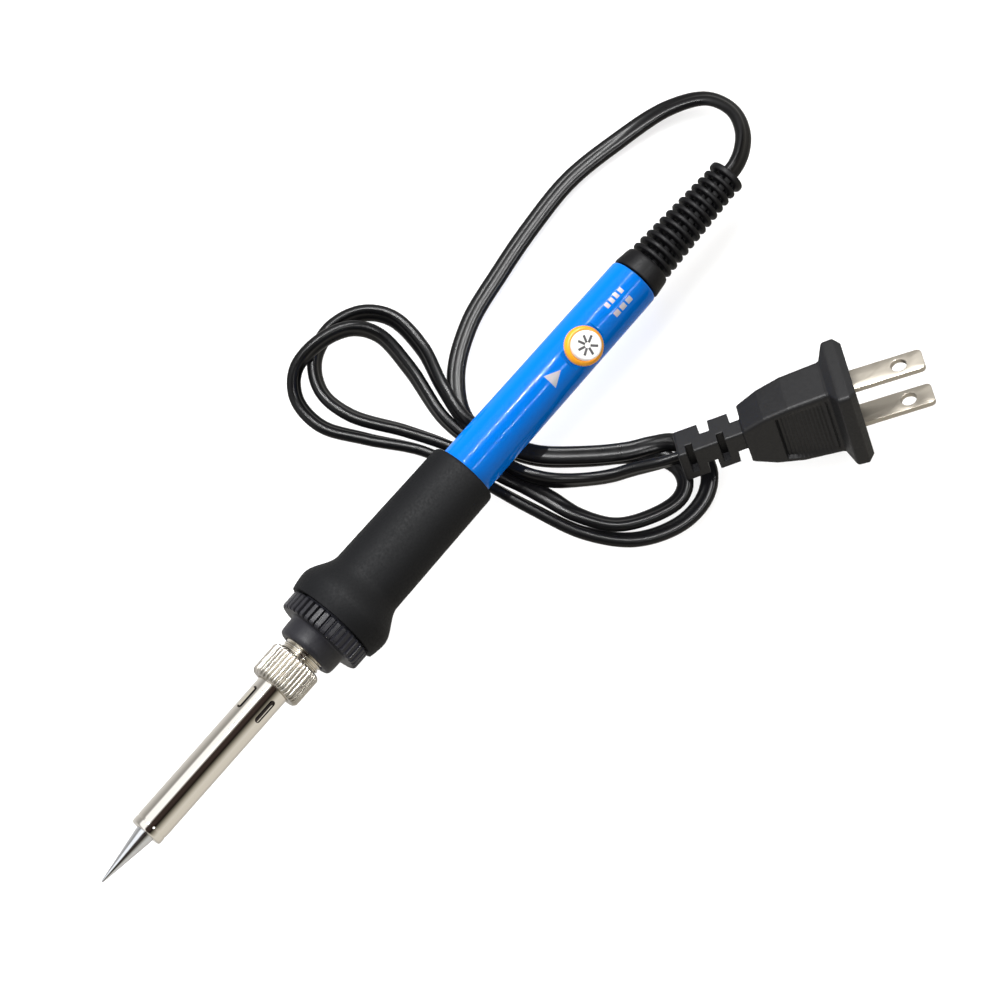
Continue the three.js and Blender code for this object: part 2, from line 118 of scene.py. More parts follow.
TENT_SHADES = [  # degrees from straight up towards -Y, then the light's red, green and blue
    (-180, 0.60, 0.58, 0.55), (-134, 0.80, 0.79, 0.77), (-107, 0.67, 0.65, 0.62), (-88, 0.50, 0.49, 0.47),
    (-70, 0.36, 0.35, 0.33), (-63, 0.50, 0.50, 0.49), (-55, 1.30, 1.30, 1.30), (-15, 1.35, 1.35, 1.35),
    (-8, 0.26, 0.24, 0.22), (-3, 0.05, 0.035, 0.03), (16, 0.05, 0.035, 0.03), (31, 0.01, 0.007, 0.005),
    (41, 0.16, 0.15, 0.12), (53, 0.41, 0.38, 0.32), (65, 0.64, 0.61, 0.54), (78, 0.80, 0.77, 0.70),
    (106, 0.78, 0.74, 0.66), (126, 0.76, 0.71, 0.64), (153, 0.55, 0.53, 0.48), (180, 0.60, 0.58, 0.55)]
world = bpy.data.worlds.new("tent")
world.use_nodes = True
scene.world = world
tent = world.node_tree
outward = tent.nodes.new("ShaderNodeTexCoord")
parts = tent.nodes.new("ShaderNodeSeparateXYZ")
flip = tent.nodes.new("ShaderNodeMath")
flip.operation = "MULTIPLY"
flip.inputs[1].default_value = -1
turn = tent.nodes.new("ShaderNodeMath")
turn.operation = "ARCTAN2"
turn_share = tent.nodes.new("ShaderNodeMapRange")
turn_share.inputs["From Min"].default_value = -pi
turn_share.inputs["From Max"].default_value = pi
shades = tent.nodes.new("ShaderNodeValToRGB")
tent.links.new(outward.outputs["Generated"], parts.inputs[0])
tent.links.new(parts.outputs["Y"], flip.inputs[0])
tent.links.new(flip.outputs[0], turn.inputs[0])
tent.links.new(parts.outputs["Z"], turn.inputs[1])
tent.links.new(turn.outputs[0], turn_share.inputs["Value"])
tent.links.new(turn_share.outputs[0], shades.inputs["Fac"])
tent.links.new(shades.outputs["Color"], tent.nodes["Background"].inputs["Color"])
tent.nodes["Background"].inputs["Strength"].default_value = 1.0
while len(shades.color_ramp.elements) < len(TENT_SHADES):
    shades.color_ramp.elements.new(0.5)
for stop, (angle, red, green, blue) in zip(shades.color_ramp.elements, TENT_SHADES):
    stop.position = (angle + 180) / 360
    stop.color = (red, green, blue, 1)

# ---- Power cord -------------------------------------------------------------------------------
# Flat pair of stranded cores in black PVC, 4.6 by 2.8 mm. It leaves the guard, runs flat under the
# handle, makes two open turns on each side of it, and ends in the plug's strain relief.
CORD_WIDE = 4.6 * MM
CORD_THICK = 2.8 * MM
# x, y, z of the centreline in millimetres, then its lean: 0 stands on edge and 90 lies flat.
CORD_ROUTE = [
    (114.8, 0, 12.85, 40), (116.6, 0, 12.85, 42), (120.8, 1.2, 12.2, 45), (126.0, 4.8, 10.4, 45),
    (129.4, 10.8, 7.9, 45), (128.4, 17.9, 5.5, 50), (120.9, 24.0, 3.3, 60), (105.7, 28.5, 1.7, 85),
    (91.0, 30.9, 1.5, 90), (76.1, 30.2, 1.5, 90), (61.4, 28.3, 1.5, 90), (46.9, 25.5, 1.5, 90),
    (34.7, 19.3, 1.5, 90), (27.9, 10.6, 1.5, 90), (28.3, 1.5, 1.5, 90), (31.8, -8.4, 1.5, 90),
    (39.4, -17.8, 1.5, 90), (46.9, -25.2, 1.5, 90), (50.2, -29.4, 1.6, 88), (52.0, -33.3, 2.0, 55),
    (52.2, -37.3, 2.2, 45), (50.2, -40.7, 2.3, 45), (46.2, -42.0, 2.3, 48), (39.4, -40.0, 2.3, 45),
    (31.6, -34.6, 2.3, 42), (27.4, -26.0, 2.15, 48), (26.0, -17.5, 1.75, 75), (24.6, -10.5, 1.75, 75),
    (22.3, -4.0, 2.25, 30), (21.4, 2.5, 2.3, 15), (20.1, 9.0, 2.3, 20), (16.2, 19.4, 2.3, 30),
    (10.4, 32.5, 2.3, 35), (10.3, 41.5, 2.3, 30), (15.3, 48.1, 2.3, 30), (23.5, 50.3, 2.3, 35),
    (31.6, 47.3, 2.3, 35), (35.6, 40.8, 2.3, 35), (34.6, 30.2, 2.6, 30), (30.0, 19.6, 4.6, 20),
    (27.1, 9.5, 5.0, 30), (28.3, 1.5, 4.4, 90), (31.8, -8.4, 4.4, 90), (39.4, -17.8, 4.4, 90),
    (46.9, -25.0, 4.3, 90), (51.9, -28.5, 4.0, 90), (56.0, -31.6, 2.6, 90), (58.1, -35.6, 1.7, 86),
    (58.0, -39.9, 1.95, 62), (55.4, -44.0, 2.3, 60), (50.0, -46.6, 2.3, 60), (41.8, -46.2, 2.3, 55),
    (31.9, -40.6, 2.3, 48), (25.0, -30.2, 2.3, 35), (21.2, -16.1, 2.3, 25), (18.3, -1.5, 2.3, 15),
    (15.3, 12.4, 2.3, 15), (8.4, 25.5, 2.3, 30), (3.7, 36.2, 2.3, 35), (4.9, 44.8, 3.0, 30),
    (9.9, 49.3, 5.2, 20), (18.3, 49.2, 7.1, 25), (26.2, 45.8, 6.4, 25), (29.9, 40.0, 3.9, 20),
    (28.7, 29.1, 2.4, 25), (24.6, 14.6, 2.3, 15), (24.6, 4.0, 2.3, 10), (25.3, -3.5, 3.2, 5),
    (26.4, -10.5, 5.2, 20), (29.3, -16.0, 5.1, 20), (34.4, -21.2, 3.6, 10), (39.6, -25.8, 3.6, 10),
    (44.3, -29.3, 5.2, 10),
]
# The plug's pose: the middle of its front face, and its turns about Z, Y and X.
PLUG_LENGTH = 45
RELIEF_DROOP = 0.55
PLUG_PLACE = Matrix.Translation(Vector((90.1, -60.35, 16.3)) * MM) @ (
    Matrix.Rotation(radians(-34), 4, "Z") @ Matrix.Rotation(radians(-9.5), 4, "Y")
    @ Matrix.Rotation(radians(-28.5), 4, "X"))


def plug_point(x, y=0.0, z=0.0):
    """A point given in the plug's own millimetres, in the frame's millimetres."""
    return tuple(PLUG_PLACE @ (Vector((x, y, z)) * MM) / MM)


for behind in (4.0, 0.3):
    CORD_ROUTE.append((*plug_point(-PLUG_LENGTH - behind, -RELIEF_DROOP, -RELIEF_DROOP), 0))


def smooth_route(points, step):
    """Centripetal Catmull-Rom curve through the points, read off at even steps of its own length.
    Each stretch is a cubic whose end slopes come from the square roots of the neighbouring chords."""
    points = np.asarray(points, float)
    ends = [2 * points[:1] - points[1:2], points, 2 * points[-1:] - points[-2:-1]]
    p = np.concatenate(ends)
    chord = np.sqrt(np.linalg.norm(np.diff(p[:, :3], axis=0), axis=1))[:, None]
    p0, p1, p2, p3 = p[:-3], p[1:-2], p[2:-1], p[3:]
    c0, c1, c2 = chord[:-2], chord[1:-1], chord[2:]
    m1 = ((p1 - p0) / c0 - (p2 - p0) / (c0 + c1) + (p2 - p1) / c1) * c1
    m2 = ((p2 - p1) / c1 - (p3 - p1) / (c1 + c2) + (p3 - p2) / c2) * c1
    t = np.linspace(0, 1, 60, endpoint=False)[None, :, None]
    p1, p2, m1, m2 = p1[:, None], p2[:, None], m1[:, None], m2[:, None]
    curve = p1 + m1 * t + (3 * (p2 - p1) - 2 * m1 - m2) * t**2 + (2 * (p1 - p2) + m1 + m2) * t**3
    curve = np.concatenate([curve.reshape(-1, p.shape[1]), p[-2:-1]])
    run = np.concatenate([[0], np.cumsum(np.linalg.norm(np.diff(curve[:, :3], axis=0), axis=1))])
    even = np.linspace(0, run[-1], int(run[-1] / step) + 1)
    return np.stack([np.interp(even, run, column) for column in curve.T], axis=1)


def skin(name, grid, ends="open", across="closed", sharp=35):
    """A mesh over a grid of points, rows by columns, in metres. across closes each row on itself; ends
    closes the first row to the last, caps both or leaves them open. Edges over sharp degrees stay crisp."""
    rows, columns = grid.shape[:2]
    index = np.arange(rows * columns).reshape(rows, columns)
    if across == "closed":
        index = np.concatenate([index, index[:, :1]], axis=1)
    if ends == "joined":
        index = np.concatenate([index, index[:1]], axis=0)
    quads = np.stack([index[:-1, :-1], index[:-1, 1:], index[1:, 1:], index[1:, :-1]], axis=-1).reshape(-1, 4)
    faces = quads.tolist()
    if ends == "capped":
        faces += [index[0, :columns].tolist()[::-1], index[-1, :columns].tolist()]
    mesh = bpy.data.meshes.new(name)
    mesh.from_pydata(grid.reshape(-1, 3).tolist(), [], faces)
    work = bmesh.new()
    work.from_mesh(mesh)
    bmesh.ops.remove_doubles(work, verts=work.verts, dist=1e-7)
    bmesh.ops.recalc_face_normals(work, faces=work.faces)
    work.to_mesh(mesh)
    work.free()
    mesh.polygons.foreach_set("use_smooth", np.ones(len(mesh.polygons), bool))
    mesh.set_sharp_from_angle(angle=radians(sharp))
    piece = bpy.data.objects.new(name, mesh)
    scene.collection.objects.link(piece)
    return piece


def twin_section(columns):
    """Outline of the flat pair: two half circles and two flats, each flat dipping in a shallow groove.
    First the place across the width, then the place through the thickness, both in millimetres."""
    turn = np.linspace(0, 2 * pi, columns, endpoint=False)
    half = 1000 * (CORD_WIDE - CORD_THICK) / 2
    round_half = 500 * CORD_THICK
    width = np.clip(np.cos(turn) * 1.6, -1, 1) * half + round_half * np.cos(turn)
    depth = round_half * np.sin(turn)
    groove = 0.3 * np.exp(-((width / 0.5) ** 2)) * np.sign(depth)
    return width, depth - groove


def cord_skin(name, route):
    """The cord's section carried along a route of x, y, z and lean in millimetres. The width stands along
    the upright of each cross section at lean 0 and along its level line at lean 90."""
    line = route[:, :3]
    along = np.gradient(line, axis=0)
    along /= np.linalg.norm(along, axis=1)[:, None]
    level = np.stack([-along[:, 1], along[:, 0], np.zeros(len(line))], axis=1)
    level /= np.linalg.norm(level, axis=1)[:, None]
    upright = np.cross(along, level)
    lean = np.radians(route[:, 3])[:, None]
    wide = np.cos(lean) * upright + np.sin(lean) * level
    thin = np.cos(lean) * level - np.sin(lean) * upright
    width, depth = twin_section(32)
    grid = line[:, None] + wide[:, None] * width[None, :, None] + thin[:, None] * depth[None, :, None]
    return skin(name, grid * MM, ends="capped", sharp=60)


def finish(name, base, second, rough, metal=0.0, grain=900.0, stretch=(1, 1, 1), bump=0.05,
           spread=0.08, specular=0.5):
    """A surface whose colour wanders between base and second on broad noise, and whose roughness wanders by
    spread about rough on fine noise of grain cycles a metre. stretch scales the noise along each axis, and
    bump is how strongly the fine noise stands up."""
    material = bpy.data.materials.new(name)
    material.use_nodes = True
    tree = material.node_tree
    shader = tree.nodes["Principled BSDF"]
    shader.inputs["Metallic"].default_value = metal
    shader.inputs["Specular IOR Level"].default_value = specular
    place = tree.nodes.new("ShaderNodeTexCoord")
    scale = tree.nodes.new("ShaderNodeMapping")
    scale.inputs["Scale"].default_value = stretch
    fine = tree.nodes.new("ShaderNodeTexNoise")
    fine.inputs["Scale"].default_value = grain
    fine.inputs["Detail"].default_value = 4
    broad = tree.nodes.new("ShaderNodeTexNoise")
    broad.inputs["Scale"].default_value = grain / 14
    tint = tree.nodes.new("ShaderNodeMix")
    tint.data_type = "RGBA"
    tint.inputs["A"].default_value = base
    tint.inputs["B"].default_value = second
    dull = tree.nodes.new("ShaderNodeMapRange")
    dull.inputs["From Min"].default_value = 0.3
    dull.inputs["From Max"].default_value = 0.7
    dull.inputs["To Min"].default_value = max(0.02, rough - spread)
    dull.inputs["To Max"].default_value = min(1.0, rough + spread)
    relief = tree.nodes.new("ShaderNodeBump")
    relief.inputs["Strength"].default_value = bump
    relief.inputs["Distance"].default_value = 0.0002
    tree.links.new(place.outputs["Object"], scale.inputs["Vector"])
    tree.links.new(scale.outputs[0], fine.inputs["Vector"])
    tree.links.new(scale.outputs[0], broad.inputs["Vector"])
    tree.links.new(broad.outputs[0], tint.inputs["Factor"])
    tree.links.new(tint.outputs["Result"], shader.inputs["Base Color"])
    tree.links.new(fine.outputs[0], dull.inputs["Value"])
    tree.links.new(dull.outputs[0], shader.inputs["Roughness"])
    tree.links.new(fine.outputs[0], relief.inputs["Height"])
    tree.links.new(relief.outputs[0], shader.inputs["Normal"])
    return material


cord_line = smooth_route(CORD_ROUTE, 1.0)
cord_jacket = finish("cord_jacket", colour(8, 8, 9), colour(12, 12, 14), 0.3, grain=600, bump=0.0,
                     spread=0.03, specular=0.2)
INTO_RELIEF = 1.2
into_plug = [*plug_point(-PLUG_LENGTH + INTO_RELIEF, -RELIEF_DROOP, -RELIEF_DROOP), 0]
power_cord = cord_skin("flat_cord", np.concatenate([cord_line, [into_plug]]))
power_cord.data.materials.append(cord_jacket)
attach(power_cord, "handle")
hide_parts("power_cord")

# ---- Soldering tip ----------------------------------------------------------------------------
# Turned copper, iron and chrome plated: a slender cone on a wider hollow shank that slips over the
# heater. The working end is tinned and a little browned.
TIP_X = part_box("soldering_tip")[0][0] / MM
tube_low, tube_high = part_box("barrel_tube")
AXIS_Z = (tube_low[2] + tube_high[2]) / 2 / MM


def turned(name, profile, columns=96, shape=None, at=None, sharp=35):
    """A profile of distance along the axis and radius, in millimetres, turned about the iron's axis or the
    one in at. The profile closes on itself unless it starts on the axis. shape changes the radius by
    distance and angle, the angle counted from straight up towards -Y."""
    profile = np.asarray(profile, float)
    angle = np.linspace(0, 2 * pi, columns, endpoint=False)
    along = np.repeat(profile[:, :1], columns, axis=1)
    radius = np.repeat(profile[:, 1:], columns, axis=1)
    if shape is not None:
        radius = shape(along, radius, angle[None, :])
    origin, axis, up, side = at or ((TIP_X, 0, AXIS_Z), (1, 0, 0), (0, 0, 1), (0, -1, 0))
    ring = np.cos(angle)[None, :, None] * np.array(up) + np.sin(angle)[None, :, None] * np.array(side)
    grid = np.array(origin) + along[..., None] * np.array(axis) + radius[..., None] * ring
    return skin(name, grid * MM, ends="open" if profile[0, 1] == 0 else "joined", sharp=sharp)


def rounded(corners, radius, steps=5):
    """A profile with each corner rounded: the corner is left by its radius along both sides and the gap
    is filled by a quadratic curve. A corner with radius 0 stays as it is."""
    corners = [np.array(corner, float) for corner in corners]
    points = []
    for i, corner in enumerate(corners):
        reach = radius[i] if isinstance(radius, (list, tuple)) else radius
        before, after = corners[i - 1], corners[(i + 1) % len(corners)]
        if reach == 0 or (corners[0][1] == 0 and i in (0, len(corners) - 1)):
            points.append(corner)
            continue
        start = corner + (before - corner) * min(0.45, reach / np.linalg.norm(before - corner))
        end = corner + (after - corner) * min(0.45, reach / np.linalg.norm(after - corner))
        t = np.linspace(0, 1, steps)[:, None]
        points.extend((1 - t) ** 2 * start + 2 * t * (1 - t) * corner + t**2 * end)
    return points


def between(x0, r0, x1, r1, count):
    """Evenly spaced points of a straight line of the profile, without its last point."""
    share = np.linspace(0, 1, count, endpoint=False)[:, None]
    return (np.array([[x0, r0]]) * (1 - share) + np.array([[x1, r1]]) * share).tolist()


tip = turned("tip_cone", rounded(
    [(0, 0), (0.04, 0.24), (0.5, 0.34), (14.6, 2.4), (16.8, 2.4), (16.8, 3.25), (43, 3.25), (43, 2.15),
     (22, 2.15), (22, 0)], [0, 0.1, 0.3, 0.4, 0, 0.3, 0.3, 0.2, 0, 0]))
tip_plate = finish("tip_plate", colour(222, 224, 228), colour(208, 211, 217), 0.17, metal=1, grain=2500,
                   stretch=(6, 1, 1), bump=0.01, spread=0.04)
tip.data.materials.append(tip_plate)
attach(tip, "barrel")
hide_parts("soldering_tip")

# ---- Barrel tube ------------------------------------------------------------------------------
# Drawn steel tube, nickel plated and polished. Its front is rolled in to a lip that holds the tip, with
# a crease behind the bead. Four slots near the nut let the heat out. The bore is near black: heat scale and
# painted shade, so the slots look dark under the shadowless side lamp.
TUBE_R = 4.25
TUBE_BORE = 3.6
SLOT_X = 54.8
SLOT_LENGTH = 6.6
SLOT_WIDE = 1.6
SLOT_ANGLES = (41, 137, 221, 317)

tube_profile = rounded(
    [(15.2, 2.75), (15.2, TUBE_R), (17.0, TUBE_R), (17.35, 4.1), (17.7, TUBE_R), (62.0, TUBE_R), (62.0, 5.1),
     (63.1, 5.1), (63.1, TUBE_BORE), (16.4, TUBE_BORE), (16.4, 2.75)],
    [0.15, 0.75, 0.25, 0.2, 0.25, 0, 0.1, 0.1, 0.1, 0.1, 0.1])
tube = turned("nickel_tube", tube_profile, columns=128)


def slot_punch(angle):
    """A round-ended bar across the tube's wall at an angle about its axis, as deep as the wall and more."""
    turn = np.linspace(0, 2 * pi, 32, endpoint=False)
    half = (SLOT_LENGTH - SLOT_WIDE) / 2
    along = SLOT_X + np.sign(np.cos(turn)) * half + SLOT_WIDE / 2 * np.cos(turn)
    side = SLOT_WIDE / 2 * np.sin(turn)
    height = np.array([TUBE_BORE - 1.1, TUBE_R + 1.75])[:, None]
    a = radians(angle)
    y = -height * sin(a) - side[None] * cos(a)
    z = height * cos(a) - side[None] * sin(a)
    grid = np.stack([np.broadcast_to(TIP_X + along, y.shape), y, AXIS_Z + z], axis=-1)
    return skin("punch", grid * MM, ends="capped")


for angle in SLOT_ANGLES:
    punch = slot_punch(angle)
    opening = tube.modifiers.new("slot", "BOOLEAN")
    opening.object = punch
    opening.solver = "EXACT"
    bpy.context.view_layer.objects.active = tube
    bpy.ops.object.modifier_apply(modifier=opening.name)
    bpy.data.objects.remove(punch)
tube.data.set_sharp_from_angle(angle=radians(35))
tube_plate = finish("tube_plate", colour(233, 230, 225), colour(226, 221, 213), 0.055, metal=1, grain=1400,
                    stretch=(0.08, 1, 1), bump=0.0, spread=0.02)
# Near-black bore finish: heat scale plus painted shade for the inside of the slots, which the shadowless side
# lamp would light.
bore_scale_and_painted_shade = finish("bore_scale_and_painted_shade", colour(34, 30, 28), colour(48, 42, 38), 0.7, grain=1200, bump=0.02)
tube.data.materials.append(tube_plate)
tube.data.materials.append(bore_scale_and_painted_shade)
# Faces of the bore take the near-black second finish: heat scale and painted shade seen through the slots.
middles = np.array([face.center[:] for face in tube.data.polygons]) / MM
from_axis = np.hypot(middles[:, 1], middles[:, 2] - AXIS_Z)
inner = (from_axis < TUBE_BORE + 0.15) & (middles[:, 0] > TIP_X + 16)
tube.data.polygons.foreach_set("material_index", inner.astype(np.int32))
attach(tube, "barrel")
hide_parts("barrel_tube")

# ---- Retaining nut ----------------------------------------------------------------------------
# Turned brass, nickel plated, with straight knurling rolled into its rim. It screws on the bush and
# clamps the tube's flange.
NUT_TEETH = 36
NUT_R = 6.75
NUT_TOOTH_DEPTH = 0.42


def knurl(along, radius, angle):
    """Radius less a groove between teeth: a smooth dip repeated round the rim, on the rim only."""
    phase = (angle * NUT_TEETH / (2 * pi)) % 1 - 0.5
    groove = NUT_TOOTH_DEPTH * np.exp(-((phase / 0.18) ** 2))
    rim = np.clip((radius - 6.1) / 0.3, 0, 1)
    return radius - groove * rim


nut = turned("knurled_nut", [
    (60.9, 4.55), (60.6, 4.7), *between(60.6, 4.9, 60.6, 6.05, 3), (60.65, 6.2), (61.2, 6.67),
    *between(61.45, NUT_R, 68.6, NUT_R, 10), (68.6, NUT_R), (68.85, 6.67), (69.35, 6.2), (69.4, 6.05),
    (69.4, 5.75), (69.2, 5.6), (61.6, 5.6), (61.5, 4.55)], columns=NUT_TEETH * 12, shape=knurl, sharp=50)
nut_plate = finish("nut_plate", colour(186, 182, 174), colour(174, 169, 160), 0.3, metal=1, grain=1400,
                   stretch=(0.3, 1, 1), bump=0.0, spread=0.04)
nut.data.materials.append(nut_plate)
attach(nut, "nut")
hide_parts("retaining_nut")

# ---- Threaded bush ----------------------------------------------------------------------------
# Nickel-plated steel bush that carries the nut. Its thread shows between the nut and the collar.
THREAD_PITCH = 1.0
THREAD_DEPTH = 0.42
THREAD_FROM, THREAD_TO = 63.6, 73.0


def thread(along, radius, angle):
    """Radius less a round-bottomed helical groove, one turn a pitch, between the bush's ends."""
    wave = 0.5 - 0.5 * np.cos(2 * pi * (along / THREAD_PITCH - angle / (2 * pi)))
    threaded = np.clip((along - THREAD_FROM) / 0.4, 0, 1) * np.clip((THREAD_TO - along) / 0.6, 0, 1)
    return radius - THREAD_DEPTH * wave**1.4 * threaded * (radius > 5.0) * (radius < 5.6)


bush = turned("bush_thread", [
    (63.4, 3.9), (63.4, 4.9), *between(63.5, 5.3, 73.4, 5.3, 100), (73.4, 5.3), (73.5, 6.4), (73.6, 6.5),
    (75.9, 6.5), (76, 6.4), (76, 3.9)], columns=96, shape=thread)
bush_plate = finish("bush_plate", colour(232, 228, 220), colour(214, 208, 196), 0.14, metal=1, grain=2000,
                    bump=0.02, spread=0.05)
bush.data.materials.append(bush_plate)
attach(bush, "front_end")
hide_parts("threaded_bush")

# ---- Front collar -----------------------------------------------------------------------------
# Moulded heat-proof plastic: a smooth boss and a fluted disc in one piece. Its skirt screws on the
# shell and holds the bush's flange.
COLLAR_FLUTES = 40
FLUTE_DEPTH = 0.85


def flutes(along, radius, angle):
    """Radius less a narrow square-edged groove between flutes, on the disc's rim only."""
    phase = np.abs((angle * COLLAR_FLUTES / (2 * pi)) % 1 - 0.5)
    groove = FLUTE_DEPTH * (1 - np.clip((phase - 0.11) / 0.1, 0, 1))
    rim = np.clip((radius - 10.6) / 0.25, 0, 1)
    return radius - groove * rim


collar = turned("fluted_collar", [
    (72.0, 5.6), (71.75, 5.7), *between(71.7, 5.9, 71.7, 6.7, 4), (71.74, 6.95), (71.9, 7.25), (72.2, 7.5),
    (72.7, 7.65), (73.2, 7.7), (76.2, 7.8), (76.6, 7.95), (76.8, 8.3), *between(76.8, 8.6, 76.8, 10.6, 5),
    (76.8, 10.7), (76.86, 10.95), (77.0, 11.2), (77.25, 11.36), *between(77.5, 11.4, 81.0, 11.4, 6),
    (81.0, 11.4), (81.3, 11.3), (81.5, 11.05), (81.5, 8.7), (81.5, 8.6), (90, 8.6), (90, 7.35), (76.2, 7.35),
    (76.2, 6.8), (73.2, 6.8), (73.2, 5.6)], columns=COLLAR_FLUTES * 12, shape=flutes, sharp=50)
collar_plastic = finish("collar_plastic", colour(27, 27, 32), colour(33, 33, 38), 0.45, grain=1500, bump=0.06,
                        specular=0.3)
collar.data.materials.append(collar_plastic)
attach(collar, "collar")
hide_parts("front_collar")

# ---- Grip -------------------------------------------------------------------------------------
# Soft rubber sleeve pulled over the shell, flared in front as a finger guard, with a rolled lip.
FLARE_R = (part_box("grip_sleeve")[1][2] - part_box("grip_sleeve")[0][2]) / 2 / MM


def grip_outline():
    """Radius along the grip: a straight lip, a swell up to the flare and an S-curve down to the sleeve,
    which then narrows evenly to the rear edge."""
    x = np.concatenate([np.linspace(81.8, 96, 60), np.linspace(97, 128.6, 24)])
    front = 12.3 + (FLARE_R - 12.3) * np.sin(np.clip((x - 81.8) / 4.2, 0, 1) * pi / 2)
    fall = np.clip((x - 86) / 8.6, 0, 1)
    fall = fall**2 * (3 - 2 * fall)
    sleeve = 9.42 - (x - 92) * (0.47 / 38)
    return np.stack([x, front * (1 - fall) + sleeve * fall], axis=1).tolist()


grip_top = grip_outline()
grip = turned("rubber_grip", [
    (82.4, 9.0), (82.1, 9.2), (81.9, 10.0), (81.8, 11.6), (81.8, 12.0), *grip_top, (129.2, 8.9),
    (129.6, 8.75), (129.9, 8.5), (130.0, 8.2), (130.0, 7.5), (129.8, 7.3), (91.0, 7.3), (91.0, 8.9)],
    columns=160)
grip_rubber = finish("grip_rubber", colour(9, 10, 12), colour(14, 15, 18), 0.66, grain=1700, bump=0.2,
                     specular=0.16)
grip.data.materials.append(grip_rubber)
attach(grip, "handle")
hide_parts("grip_sleeve")

# ---- Handle shell -----------------------------------------------------------------------------
# Injection-moulded tube in glossy blue plastic, slightly tapered, with a flat seat for the dial.
# A pointer and two rows of plain rating marks are printed beside the dial.
DIAL_X = 171.1
DIAL_TURN = radians(20)
SEAT_HEIGHT = 6.2
SEAT_HALF = 5.4
SHELL_REAR = 193.3


def shell_radius(x):
    """The shell's outer radius: even under the grip, then an even taper to the rear end."""
    return 7.0 - 0.35 * np.clip((x - 132) / (SHELL_REAR - 132), 0, 1)


def dial_seat(along, radius, angle):
    """The lesser of the radius and the distance to a flat plane across the dial's axis, near the dial."""
    away = np.cos(angle - DIAL_TURN)
    plane = np.where(away > 0.3, SEAT_HEIGHT / np.maximum(away, 0.3), 99)
    edge = np.clip((np.abs(along - DIAL_X) - SEAT_HALF) / 0.35, 0, 1)
    return np.where(radius > 6.1, np.minimum(radius, plane + edge), radius)


shell_xs = np.concatenate([
    np.linspace(84, 164, 12), np.linspace(165, 177.2, 90), np.linspace(178, SHELL_REAR - 0.7, 8)])
shell_top = np.stack([shell_xs, shell_radius(shell_xs)], axis=1).tolist()
shell = turned("blue_shell", [
    (83.2, 5.6), (83.2, 6.5), (83.35, 6.8), (83.6, 6.95), *shell_top,
    (SHELL_REAR - 0.45, 6.62), (SHELL_REAR - 0.2, 6.52), (SHELL_REAR - 0.04, 6.35), (SHELL_REAR, 6.15),
    (SHELL_REAR, 5.8), (SHELL_REAR - 0.2, 5.6)],
    columns=240, shape=dial_seat)
shell_plastic = finish("shell_plastic", colour(0, 107, 205), colour(0, 110, 209), 0.05, grain=700, bump=0.0,
                       spread=0.02, specular=0.14)
shell.data.materials.append(shell_plastic)
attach(shell, "handle")
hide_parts("handle_shell")


def printed(name, outline, ink):
    """A thin printed shape on the shell. outline is a four-cornered patch as distances along the iron and
    degrees about it; the patch is a grid between its corners, raised a little over the shell."""
    (x0, a0), (x1, a1), (x2, a2), (x3, a3) = outline
    u, v = np.meshgrid(np.linspace(0, 1, 12), np.linspace(0, 1, 12), indexing="ij")
    x = (1 - u) * ((1 - v) * x0 + v * x1) + u * ((1 - v) * x3 + v * x2)
    a = np.radians((1 - u) * ((1 - v) * a0 + v * a1) + u * ((1 - v) * a3 + v * a2))
    layers = []
    for lift in (0.035, -0.02):
        r = shell_radius(x) + lift
        layers.append(np.stack([TIP_X + x, -r * np.sin(a), AXIS_Z + r * np.cos(a)], axis=-1))
    top, under = layers
    rim = np.concatenate([top, under[:, ::-1]], axis=1)
    piece = skin(name, rim * MM, ends="capped")
    piece.data.materials.append(ink)
    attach(piece, "handle")
    return piece


print_ink = finish("print_ink", colour(170, 170, 175), colour(162, 163, 168), 0.45, grain=2500, bump=0.05)
printed("pointer_print", [(163.0, 18.0), (163.0, 18.4), (159.1, 35.2), (159.1, 1.2)], print_ink)
for row, (angle, marks) in enumerate([(2.0, 4), (28.0, 3)]):
    for mark in range(marks):
        left = 182.1 + mark * 6.6 / marks
        right = left + 6.6 / marks - 0.6
        outline = [(right, angle - 6), (right, angle + 6), (left, angle + 6), (left, angle - 6)]
        printed(f"rating_mark_{row + 1}_{mark + 1}", outline, print_ink)

# ---- Dial -------------------------------------------------------------------------------------
# Yellow moulded knob with a finely knurled side, pressed on the shaft, and a white cap snapped into it.
# The cap carries plain radial ticks.
DIAL_UP = (0, -sin(DIAL_TURN), cos(DIAL_TURN))
DIAL_SIDE = tuple(np.cross(DIAL_UP, (1, 0, 0)))
DIAL_AT = ((TIP_X + DIAL_X, 0, AXIS_Z), DIAL_UP, (1, 0, 0), DIAL_SIDE)


def fine_knurl(along, radius, angle):
    """Radius less shallow grooves round the knob's side."""
    return radius - 0.07 * (0.5 + 0.5 * np.cos(48 * angle)) * (radius > 4.6)


knob = turned("yellow_knob", [
    (6.5, 1.6), (6.5, 4.4), (6.55, 4.7), (6.8, 4.88), *between(7.0, 4.9, 8.0, 4.9, 3), (8.0, 4.9),
    (8.25, 4.84), (8.5, 4.66), (8.75, 4.4), (8.88, 4.15), (8.9, 3.95), (8.75, 3.82), (8.2, 3.8), (8.2, 1.6)],
    columns=288, shape=fine_knurl, at=DIAL_AT)
knob_plastic = finish("knob_plastic", colour(238, 160, 0), colour(234, 152, 0), 0.35, grain=1400, bump=0.05)
knob.data.materials.append(knob_plastic)
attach(knob, "dial")
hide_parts("dial_knob")

cap = turned("white_cap", rounded([(8.4, 0), (8.4, 3.7), (10.8, 3.62), (10.8, 0)], [0, 0.15, 0.45, 0]),
             columns=128, at=DIAL_AT)
cap_plastic = finish("cap_plastic", colour(243, 243, 240), colour(236, 236, 232), 0.38, grain=1300, bump=0.04)
cap.data.materials.append(cap_plastic)
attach(cap, "dial")
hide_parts("dial_cap")


